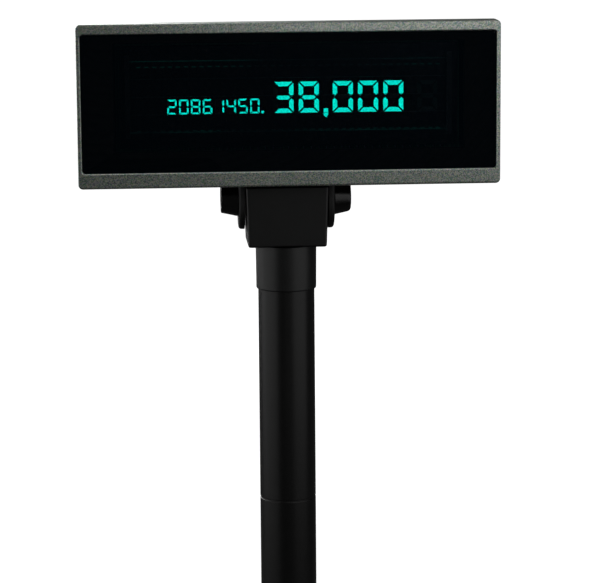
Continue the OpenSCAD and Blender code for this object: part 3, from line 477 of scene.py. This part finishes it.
def painted_stray_glow(tree, shader, here, colour, reach, glow, dim=0.002):
    """Paints a faint glow, standing in for stray light from the lit segments, on what lies farther
    than the given reach above or below the readout's middle, in patches of about 30 mm, and much
    less on the rest."""
    middle = (GLASS_LOW[2] + GLASS_HIGH[2]) / 2
    position = add(tree, "ShaderNodeSeparateXYZ", None, {"Vector": here})
    near = add(tree, "ShaderNodeMath", {"operation": "COMPARE", 1: middle * MM, 2: reach * MM},
               {0: position.outputs["Z"]})
    level = add(tree, "ShaderNodeMapRange", {"To Min": glow, "To Max": dim},
                {"Value": near.outputs["Value"]})
    cloud = add(tree, "ShaderNodeTexNoise", lumps(30, 1), {"Vector": here})
    patches = add(tree, "ShaderNodeMapRange",
                  {"From Min": 0.42, "From Max": 0.62, "To Min": 0.1, "To Max": 1},
                  {"Value": cloud.outputs["Fac"]})
    strength = add(tree, "ShaderNodeMath", {"operation": "MULTIPLY"},
                   {0: level.outputs["Result"], 1: patches.outputs["Result"]})
    glow_by(tree, shader, colour, strength.outputs["Value"])


def unlit_phosphor(colour):
    """Printed phosphor that is off, nearly black. Only the rows of dashes above and below the
    cells get a faint painted glow, in patches."""
    material, tree, shader, here = new_material("unlit_phosphor", linear("19302c"), 0.7)
    painted_stray_glow(tree, shader, here, colour, reach=12, glow=0.05)
    return material


def heater_wire(colour):
    """Oxide-coated tungsten wire: dull grey. The outermost wires get a faint painted teal glow for the
    phosphor's light that they catch.
    """
    material, tree, shader, here = new_material("heater_wire", linear("4a4c4e"), 0.4, {"Metallic": 1.0})
    painted_stray_glow(tree, shader, here, colour, reach=17, glow=0.06)
    return material


def tube_glass():
    """Soda glass of the display tube: clear, with a faint green tint."""
    return new_material("soda_glass", linear("1a2422"), 0.03,
                        {"Alpha": 0.06, "Specular IOR Level": 0.3})[0]


def plated_metal(name, code, roughness):
    """Plated, blackened or bare metal: a soft shine, broken by fine tool marks. The marks are
    drawn 0.25 mm wide, so that they show."""
    colour = linear(code)
    material, tree, shader, here = new_material(name, colour, roughness, {"Metallic": 1.0})
    mottle(tree, shader, here, colour, size=3, dark=0.8, light=1.15)
    drawn_out = add(tree, "ShaderNodeMapping", {"Scale": (1, 1, 1 / 3)}, {"Vector": here})
    marks = add(tree, "ShaderNodeTexNoise", lumps(0.25), {"Vector": drawn_out.outputs["Vector"]})
    roughen(tree, shader, marks.outputs["Fac"], (roughness - 0.08, roughness + 0.1),
            marks.outputs["Fac"], strength=0.2, depth=0.02)
    return material


def plain_moulding(name, colour, roughness, grain_size=0.6, depth=0.03):
    """Moulded or coated part: an even colour with a fine grain, from matte to a slight sheen as
    its roughness falls."""
    material, tree, shader, here = new_material(name, colour, roughness)
    mottle(tree, shader, here, colour, size=6, dark=0.85, light=1.2)
    grain = add(tree, "ShaderNodeTexNoise", lumps(grain_size, 3), {"Vector": here}).outputs["Fac"]
    roughen(tree, shader, grain, (roughness - 0.06, roughness + 0.08), grain, strength=0.4, depth=depth)
    return material


def solder_mask(colour):
    """Green solder mask on a board: copper tracks about 0.6 mm wide show through it lighter and
    raised, in a net of 2.5 by 1.25 mm."""
    material, tree, shader, here = new_material("solder_mask", colour, 0.35)
    darker, lighter = (tuple(c * share for c in colour) for share in (0.8, 1.5))
    tracks = add(tree, "ShaderNodeTexBrick",
                 {"Scale": 1 / (5 * MM), "Mortar Size": 0.06, "Color1": (*colour, 1),
                  "Color2": (*darker, 1), "Mortar": (*lighter, 1)}, {"Vector": here})
    raised = add(tree, "ShaderNodeBump", {"Strength": 0.3, "Distance": 0.04 * MM},
                 {"Height": tracks.outputs["Fac"]})
    tree.links.new(tracks.outputs["Color"], shader.inputs["Base Color"])
    tree.links.new(raised.outputs["Normal"], shader.inputs["Normal"])
    return material


# Operators

class BezelOperator(bpy.types.Operator):
    """Adds the bezel, whose profile runs over its rounded edge and bevelled lip into the pocket"""

    bl_idname = "pole_display.bezel"
    bl_label = "Bezel"

    def execute(self, context):
        size = sizes()
        window_gap, pocket_corner, tape = 0.15, 1.7, 0.4
        ledge_beside, ledge_above, ledge_corner, ledge_thickness = 3, 1.5, 0.3, 1.6
        inner_corner, bezel_depth = 0.8, 12
        face = BEZEL_LOW[1]
        seat = WINDOW_HIGH[1] + tape
        back = seat + ledge_thickness
        parting = face + bezel_depth
        mouth_gap = window_gap + size.lip
        outer = head_outline(BEZEL_LOW, BEZEL_HIGH, size.bezel_corner)
        mouth = head_outline(WINDOW_LOW, WINDOW_HIGH, pocket_corner + size.lip, mouth_gap, mouth_gap)
        pocket = head_outline(WINDOW_LOW, WINDOW_HIGH, pocket_corner, window_gap, window_gap)
        ledge = head_outline(GLASS_LOW, GLASS_HIGH, ledge_corner, ledge_beside, ledge_above)
        inner = head_outline(BEZEL_LOW, BEZEL_HIGH, inner_corner, -size.wall, -size.wall)
        steps, painted_corners = 6, 4
        profile = filleted([
            [*outer, parting, 0.2],
            [*outer, face, size.bezel_edge],
            [*mouth, face, 0.15],
            [*pocket, face + size.lip, 0.12],
            [*pocket, seat, 0.2],
            [*ledge, seat, 0.1],
            [*ledge, back, 0.1],
            [*inner, back, 0.3],
            [*inner, parting, 0.1]], steps=steps)
        rings = head_rings(profile)
        piece = surface("bezel_shell", [rings], closed=True)
        place(piece, "head", ["front_bezel"], metallic_flake_paint(colours().flake))
        # From the pocket's seat on, the moulding was masked and has no paint
        piece.data.materials.append(plain_moulding("unpainted_abs", colours().moulding, 0.7))
        bare = np.arange(len(rings)) >= painted_corners * (steps + 1)
        piece.data.polygons.foreach_set("material_index", np.repeat(bare, rings.shape[1]).astype(np.int32))
        return {"FINISHED"}


class WindowOperator(bpy.types.Operator):
    """Adds the smoked window, a slab with polished edges, and the tape behind it"""

    bl_idname = "pole_display.window"
    bl_label = "Window"

    def execute(self, context):
        size = sizes()
        rim = 1
        edge = head_outline(WINDOW_LOW, WINDOW_HIGH, size.window_corner)
        inner = head_outline(WINDOW_LOW, WINDOW_HIGH, size.window_corner, -rim, -rim)
        front, back = WINDOW_LOW[1], WINDOW_HIGH[1]
        profile = filleted([
            [*inner, front, 0],
            [*edge, front, size.window_edge],
            [*edge, back, size.window_edge],
            [*inner, back, 0]], steps=4, closed=False)
        piece = surface("window_pane", [head_rings(profile)])
        place(piece, "head", ["window"], smoked_acrylic(colours().smoke))
        # Closed-cell foam, dead black
        dress(plain_moulding("foam_tape", linear("050505"), 0.9), "window_tape")
        return {"FINISHED"}


class ReadoutOperator(bpy.types.Operator):
    """Gives the display tube its glass, phosphor and wires"""

    bl_idname = "pole_display.readout"
    bl_label = "Readout"

    def execute(self, context):
        dress(lit_phosphor(colours().lit, glow=4.1), "large_digits", "small_characters")
        dress(unlit_phosphor(colours().lit), "unlit_segments")
        dress(heater_wire(colours().lit), "filaments")
        dress(tube_glass(), "cover_glass")
        # Glass under a black print, with a slight sheen
        dress(plain_moulding("printed_glass", linear("060707"), 0.25), "base_glass")
        # Rolled nickel iron, a dull grey
        dress(plated_metal("nickel_iron", "4a4c4e", 0.4), "filament_supports", "display_pins")
        return {"FINISHED"}


class BoardOperator(bpy.types.Operator):
    """Gives the board and its parts their materials"""

    bl_idname = "pole_display.board"
    bl_label = "Board"

    def execute(self, context):
        dress(solder_mask(colours().board), "display_board")
        # Moulded epoxy, dark grey and nearly matte
        dress(plain_moulding("chip_epoxy", linear("1a1a1b"), 0.55),
              "driver_chips", "converter_coil", "capacitors")
        # Moulded nylon in its own ivory colour
        dress(plain_moulding("ivory_nylon", linear("d8d2bd"), 0.5), "cable_header")
        # Bright zinc
        dress(plated_metal("zinc_plate", "9a9c9e", 0.35), "board_screws")
        return {"FINISHED"}


class CoverOperator(bpy.types.Operator):
    """Adds the rear cover with its hinge ears, and its screws"""

    bl_idname = "pole_display.cover"
    bl_label = "Rear Cover"

    def execute(self, context):
        piece = softened_copy("rear_shell", "rear_cover", bevel=0.35)
        place(piece, "head", ["rear_cover"], textured_abs(colours().moulding))
        # Blackened steel, dark with a dull shine
        dress(plated_metal("black_oxide_steel", "2a2a2b", 0.45), "cover_screws")
        return {"FINISHED"}


class NeckOperator(bpy.types.Operator):
    """Adds the neck: a collar that swells into a block with a rounded hinge top and a cable well"""

    bl_idname = "pole_display.neck"
    bl_label = "Neck"

    def execute(self, context):
        size = sizes()
        swell, flare, sink, well_edge = 0.17, 2, 0.05, 0.5
        foot_reach = size.block_foot * 0.8
        half_x, half_y = NECK_HIGH[0], NECK_HIGH[1]
        collar_z = NECK_LOW[2]
        block_z = collar_z + size.collar_height
        shelf_z, floor_z = collar_z + size.shelf, block_z + size.well_floor
        top_radius = BEZEL_LOW[2] - PIVOT_Z - size.tilt_gap
        down, up = math.radians(TILT_DOWN), math.radians(TILT_UP)

        def hinge_top(y):
            """Height of the block's top: a circle about the tilt axis between the two stop
            angles, and the circle's tangents beyond them."""
            front = (top_radius + y * math.sin(down)) / math.cos(down)
            rear = (top_radius - y * math.sin(up)) / math.cos(up)
            arc = np.sqrt(np.maximum(top_radius ** 2 - y ** 2, 0))
            height = np.where(y > top_radius * math.sin(up), rear, arc)
            height = np.where(y < -top_radius * math.sin(down), front, height)
            return PIVOT_Z + height

        def block(cut, z=0):
            """The block's outline, a rounded rectangle cut back on every side."""
            outline = rounded_rectangle(half_x - cut, cut - half_y, half_y - cut, size.block_edge,
                                        side=16, corner=6)
            return np.column_stack([outline, np.full(len(outline), z)])

        uncut = block(0)
        heading = np.arctan2(uncut[:, 1], uncut[:, 0])

        def circle(radius, z=0):
            """A circle whose points stand in the directions of the block's own points."""
            return np.column_stack([radius * np.cos(heading), radius * np.sin(heading),
                                    np.full(len(heading), z)])

        def crest(ring, drop):
            """A ring lifted to the hinge top, less the given drop."""
            return np.column_stack([ring[:, :2], hinge_top(ring[:, 1]) - drop])

        # From the shelf down the collar's bore and round its lower end, up the collar and out
        # under the block, up the block and over its top, then down the well and the post's bore
        collar = filleted([
            [size.collar_bore, shelf_z, 0],
            [size.collar_bore, collar_z, 0.25],
            [size.collar, collar_z, 0.75],
            [size.collar + swell, block_z, 0.3],
            [size.collar + flare, block_z, 0]], steps=6, closed=False)
        quarter = np.linspace(0, math.pi / 2, 7)
        foot = block(size.block_draft, block_z + size.block_foot)
        rim = crest(block(sink), size.block_top)
        rings = [circle(*row) for row in collar]
        rings += [block(size.block_draft + foot_reach * (1 - math.sin(a)),
                        block_z + size.block_foot * (1 - math.cos(a))) for a in quarter]
        rings += [foot * (1 - t) + rim * t for t in np.linspace(0, 1, 9)[1:]]
        rings += [crest(block(sink + size.block_top * (1 - math.cos(a))),
                        size.block_top * (1 - math.sin(a))) for a in quarter[1:]]
        rings += [crest(circle(size.well + well_edge * (1 - math.sin(a))),
                        well_edge * (1 - math.cos(a))) for a in quarter]
        rings += [circle(size.well, floor_z), circle(size.post_bore, floor_z),
                  circle(size.post_bore, shelf_z)]
        piece = surface("neck_moulding", [np.stack(rings)], closed=True)
        # Glossier than the head, with a shallower grain
        place(piece, "neck", ["neck"],
              textured_abs(colours().moulding, "textured_abs_neck", roughness=0.38, relief=0.25))
        return {"FINISHED"}


class KnobsOperator(bpy.types.Operator):
    """Adds the two clamp knobs with ten flats, and gives the hinge's metal its materials"""

    bl_idname = "pole_display.knobs"
    bl_label = "Knobs"

    def execute(self, context):
        size = sizes()
        hub, centre, dish_depth, dish_draft = 3, 0.2, 0.5, 0.3
        finish = smooth_abs(colours().gloss)
        step = 2 * math.pi / KNOB_FLATS
        turn = np.linspace(0, 2 * math.pi, 320, endpoint=False)
        # The outline as a share of the radius: on each flat it falls from a corner to the middle
        # as the cosine of half a step over the cosine of the angle off the middle, with a
        # parabola added as the crown, and the corners are cut round
        off = (turn - math.radians(KNOB_TURN) + step / 2) % step - step / 2
        crown = KNOB_CROWN * (1 - (2 * off / step) ** 2)
        flat = np.minimum(math.cos(step / 2) / np.cos(off) + crown, KNOB_CORNER)
        for side, name, tip_rounding in ((-1, "left_knob", 0.5), (1, "right_knob", 1.8)):
            low, high = corners(name)
            root = low[0] if side > 0 else -high[0]
            tip = high[0] if side > 0 else -low[0]
            # Each row is a place along the axis, a radius, how far the outline is a circle
            # there, and the reach of the rounding
            profile = filleted([
                [root, hub, 1, 0],
                [root, size.knob_root, 0, 0.4],
                [tip, size.knob_tip, 0, tip_rounding],
                [tip, size.knob_dish, 1, 0.2],
                [tip - dish_depth, size.knob_dish - dish_draft, 1, 0.15],
                [tip - dish_depth, centre, 1, 0]], closed=False)
            along, radius, round_share = profile[:, :1], profile[:, 1:2], profile[:, 2:3]
            radius = radius * (flat * (1 - round_share) + round_share)
            rings = np.stack([np.broadcast_to(side * along, radius.shape),
                              radius * np.sin(turn), PIVOT_Z + radius * np.cos(turn)], 2)
            piece = surface(name + "_grip", [rings], crease=25)
            place(piece, name, [name], finish)
        # Bright zinc
        dress(plated_metal("zinc_plate_hinge", "9a9c9e", 0.35),
              "left_knob_screw", "right_knob_screw", "friction_washers")
        # Turned brass, warm and fairly bright
        dress(plated_metal("turned_brass", "b89a55", 0.3), "knob_inserts")
        return {"FINISHED"}


class PoleOperator(bpy.types.Operator):
    """Adds the two tubes of the pole, and gives the post, ring and sleeve their materials"""

    bl_idname = "pole_display.pole"
    bl_label = "Pole"

    def execute(self, context):
        size = sizes()
        finish = satin_tube(colours().satin)
        for name in ("upper_tube", "lower_tube"):
            low, high = corners(name)
            profile = filleted([
                [size.bore, low[2], size.tube_edge],
                [high[0], low[2], size.tube_edge],
                [high[0], high[2], size.tube_edge],
                [size.bore, high[2], size.tube_edge]], steps=4)
            piece = surface(name + "_skin", [turned(profile, segments=160)], closed=True)
            place(piece, "base", [name], finish)
        # Moulded acetal, black with a waxy sheen
        dress(plain_moulding("moulded_acetal", linear("0b0b0b"), 0.4),
              "tube_coupler", "swivel_post", "end_plug")
        # Spring steel, bright
        dress(plated_metal("spring_steel", "8a8c8e", 0.3), "wave_washer", "retaining_ring")
        return {"FINISHED"}


class BaseOperator(bpy.types.Operator):
    """Adds the base cover, the ballast plate and the rubber feet"""

    bl_idname = "pole_display.base"
    bl_label = "Base"

    def execute(self, context):
        size = sizes()
        centre, taper = 0.1, 1
        cover = softened_copy("base_shell", "base_cover", bevel=0.3, crease=32)
        place(cover, "base", ["base_cover"],
              textured_abs(colours().moulding, "textured_abs_base"))
        # Steel dipped in black paint, with a slight orange peel
        plate = softened_copy("ballast_slab", "ballast_plate", bevel=0.4)
        place(plate, "base", ["ballast_plate"],
              plain_moulding("dipped_steel", linear("151516"), 0.5, grain_size=1.2, depth=0.06))
        high = corners("rubber_feet")[1]
        middle_x, middle_y = high[0] - size.foot, high[1] - size.foot
        profile = filleted([
            [centre, 0, 0],
            [size.foot - taper, 0, 0.5],
            [size.foot, high[2], 0.2],
            [centre, high[2], 0]], steps=4, closed=False)
        feet = [turned(profile, segments=48, centre=(side * middle_x, end * middle_y))
                for side in (-1, 1) for end in (-1, 1)]
        # Moulded rubber, matte and a little grey
        place(surface("foot_pads", feet), "base", ["rubber_feet"],
              plain_moulding("moulded_rubber", colours().rubber, 0.8, grain_size=0.8, depth=0.05))
        # Bright zinc
        dress(plated_metal("zinc_plate_base", "9a9c9e", 0.35), "base_screws", "pole_screws")
        return {"FINISHED"}


class StageOperator(bpy.types.Operator):
    """Adds the pale floor that curves up all round, the soft lights and the camera"""

    bl_idname = "pole_display.stage"
    bl_label = "Stage"

    def execute(self, context):
        self.add_floor()
        self.add_lights()
        self.add_camera()
        context.scene.view_settings.view_transform = "Standard"
        return {"FINISHED"}

    def add_floor(self):
        """Round floor of matte paper, 15 m across, that curves up into a wall. It glows by
        itself, a little less close to the display, and doesn't light or mirror in it."""
        far, tall, flat, curve, thickness, centre = 12000, 8000, 9000, 1500, 1, 1
        profile = filleted([
            [far, -thickness, 0],
            [far, tall, 0],
            [far - thickness, tall, 0],
            [flat, 0, curve],
            [centre, 0, 0],
            [centre, -thickness, 0]], steps=12, closed=False)
        floor = surface("studio_floor", [turned(profile)])
        floor.visible_glossy = False
        floor.visible_diffuse = False
        material, tree, shader, here = new_material("matte_paper", linear("959595"), 0.95,
                                                    {"Specular IOR Level": 0.0})
        away = add(tree, "ShaderNodeVectorMath", {"operation": "LENGTH"}, {0: here}).outputs["Value"]
        glow = add(tree, "ShaderNodeMapRange",
                   {"From Min": 0.1, "From Max": 1.2, "To Min": 0.85, "To Max": 1.05}, {"Value": away})
        glow_by(tree, shader, linear("ffffff"), glow.outputs["Result"])
        floor.data.materials.append(material)

    def add_lights(self):
        """Soft boxes that stand round the display and aim at its head, each as strong as its
        radiance times pi times its area, and a weak even light from all round."""
        aim = Vector(LIGHTS_AIM)
        for name, round_by, up_by, distance, width, height, radiance in LIGHTS:
            light = bpy.data.lights.new(name, "AREA")
            light.shape = "RECTANGLE"
            light.size = width
            light.size_y = height
            light.energy = radiance * math.pi * width * height
            lamp = bpy.data.objects.new(name, light)
            bpy.context.scene.collection.objects.link(lamp)
            heading, rise = math.radians(round_by), math.radians(up_by)
            away = Vector((math.sin(heading) * math.cos(rise), -math.cos(heading) * math.cos(rise),
                           math.sin(rise)))
            lamp.location = aim + distance * away
            lamp.rotation_euler = (aim - lamp.location).to_track_quat("-Z", "Y").to_euler()
            lamp.visible_camera = False
        world = bpy.data.worlds.new("studio")
        world.use_nodes = True
        sky = world.node_tree.nodes["Background"]
        sky.inputs["Color"].default_value = (*linear("ffffff"), 1)
        sky.inputs["Strength"].default_value = WORLD_LIGHT
        bpy.context.scene.world = world

    def add_camera(self):
        """Camera whose view line is worked out from its turn and tilt. Its level and upright
        directions are then rolled about that line."""
        yaw, pitch, roll = (math.radians(v) for v in CAMERA_TURNS)
        forward = np.array([math.sin(yaw) * math.cos(pitch), math.cos(yaw) * math.cos(pitch),
                            -math.sin(pitch)])
        right = np.array([math.cos(yaw), -math.sin(yaw), 0])
        under = np.cross(forward, right)
        across = math.cos(roll) * right + math.sin(roll) * under
        below = math.cos(roll) * under - math.sin(roll) * right
        lens = bpy.data.cameras.new("photo_camera")
        lens.lens = CAMERA_LENS
        lens.sensor_width = CAMERA_FILM
        lens.clip_end = 100
        camera = bpy.data.objects.new("photo_camera", lens)
        bpy.context.scene.collection.objects.link(camera)
        matrix = np.eye(4)
        matrix[:3] = np.column_stack([across, -below, -forward, CAMERA_PLACE])
        camera.matrix_world = Matrix(matrix.tolist())
        bpy.context.scene.camera = camera


class DisplayPanel(bpy.types.Panel):
    """Lists the sizes, the colours and the steps that build the display"""

    bl_idname = "VIEW3D_PT_pole_display"
    bl_label = "Pole Display"
    bl_space_type = "VIEW_3D"
    bl_region_type = "UI"
    bl_category = "Pole Display"

    def draw(self, context):
        for group in (context.scene.pole_display_sizes, context.scene.pole_display_colours):
            for key in group.__annotations__:
                self.layout.prop(group, key)
        for step in STEPS:
            self.layout.operator(step.bl_idname)


STEPS = (StageOperator, BezelOperator, WindowOperator, ReadoutOperator, BoardOperator, CoverOperator,
         NeckOperator, KnobsOperator, PoleOperator, BaseOperator)
CLASSES = (DisplaySizes, DisplayColours, *STEPS, DisplayPanel)


def register():
    """Registers the classes, and gives each scene its sizes and colours."""
    for item in CLASSES:
        bpy.utils.register_class(item)
    bpy.types.Scene.pole_display_sizes = PointerProperty(type=DisplaySizes)
    bpy.types.Scene.pole_display_colours = PointerProperty(type=DisplayColours)


def unregister():
    """Takes back what register did."""
    del bpy.types.Scene.pole_display_sizes
    del bpy.types.Scene.pole_display_colours
    for item in reversed(CLASSES):
        bpy.utils.unregister_class(item)


def main():
    register()
    steps = bpy.ops.pole_display
    steps.stage()
    steps.bezel()
    steps.window()
    steps.readout()
    steps.board()
    steps.cover()
    steps.neck()
    steps.knobs()
    steps.pole()
    steps.base()


if __name__ == "__main__":
    main()
